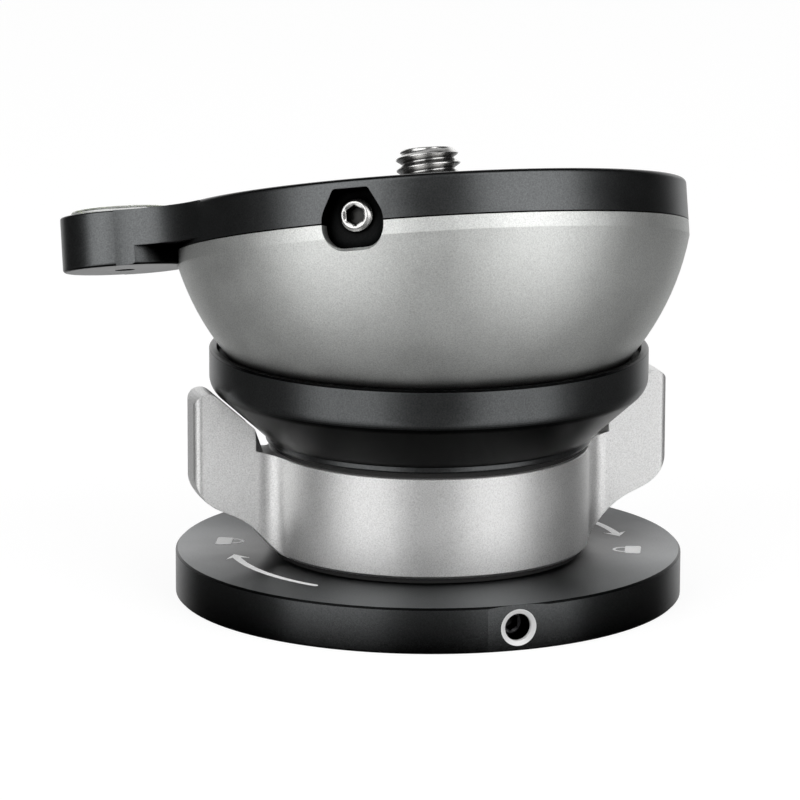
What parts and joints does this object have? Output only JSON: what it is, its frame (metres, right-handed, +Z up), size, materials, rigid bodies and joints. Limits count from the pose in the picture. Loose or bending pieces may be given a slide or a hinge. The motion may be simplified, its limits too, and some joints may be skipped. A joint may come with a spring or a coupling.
{
  "type": "leveling base",
  "caption": "Leveling base for a tripod: a half ball with a top plate and a round level leans in a cup and is clamped by turning a winged lever ring.",
  "frame": {"origin": "mouth of the tripod thread, at the centre of the base disc's underside", "axes": "+Z up through the lever ring and the cup, -Z out of the tripod thread, +X away from the arm that carries the level, -Y towards the side from which it was pictured"},
  "size_m": [0.0932, 0.077, 0.0702],
  "materials": {
    "black_anodised": "black anodised after fine blasting, satin",
    "silver_anodised": "bead-blasted and clear anodised, satin",
    "grey_anodised": "bead-blasted and hard anodised, warm grey, satin",
    "plain_aluminium": "turned",
    "steel": "turned",
    "black_screw_steel": "black oxide, satin",
    "spring_steel": "drawn wire",
    "white_plastic": "acetal, matt",
    "black_plastic": "acetal, matt",
    "clear_plastic": "clear acrylic, polished",
    "level_fluid": "yellow-green fluid"
  },
  "bodies": {
    "base": {"base_plate": "black_anodised", "base_bush": "steel", "base_set_screw": "black_screw_steel", "hub_screws": "black_screw_steel", "cup": "black_anodised", "thrust_washer": "steel", "lower_slide_washer": "black_plastic", "upper_slide_washer": "black_plastic"},
    "lever": {"lever_ring": "silver_anodised", "clamp_nut": "steel"},
    "clamp": {"draw_bolt": "steel", "clamp_cap": "plain_aluminium", "bolt_washer": "steel", "stop_sleeve": "plain_aluminium", "lift_spring": "spring_steel"},
    "seat": {"seat_ring": "black_plastic"},
    "slip": {"slip_washer": "white_plastic"},
    "head": {"half_ball": "grey_anodised", "top_plate": "black_anodised", "plate_screws": "black_screw_steel", "mount_stud": "steel", "stud_retainer": "steel", "stud_set_screw": "steel", "vial_body": "clear_plastic", "vial_fluid": "level_fluid", "vial_base": "white_plastic"}
  },
  "joints": [
    {"name": "lever_turn", "type": "hinge", "parent": "base", "child": "lever", "pos_m": [0, 0, 0.00755], "axis": [0, 0, 1], "range_deg": [0, 90]},
    {"name": "clamp_lift", "type": "slide", "parent": "base", "child": "clamp", "axis": [0, 0, 1], "range_m": [0, 0.000377], "deforming": ["lift_spring"]},
    {"name": "lean_direction", "type": "hinge", "parent": "base", "child": "seat", "pos_m": [0, 0, 0.06166], "axis": [0, 0, 1], "continuous": true},
    {"name": "lean", "type": "hinge", "parent": "seat", "child": "slip", "pos_m": [0, 0, 0.06166], "axis": [-0.9703, -0.2419, 0], "range_deg": [-31.6, 0.4]},
    {"name": "head_turn", "type": "hinge", "parent": "slip", "child": "head", "pos_m": [0, 0, 0.06166], "axis": [-0.0651, 0.2609, 0.9632], "continuous": true}
  ],
  "couplings": [
    {"joint": "clamp_lift", "follows": "lever_turn", "m_per_rad": 0.00023873}
  ]
}
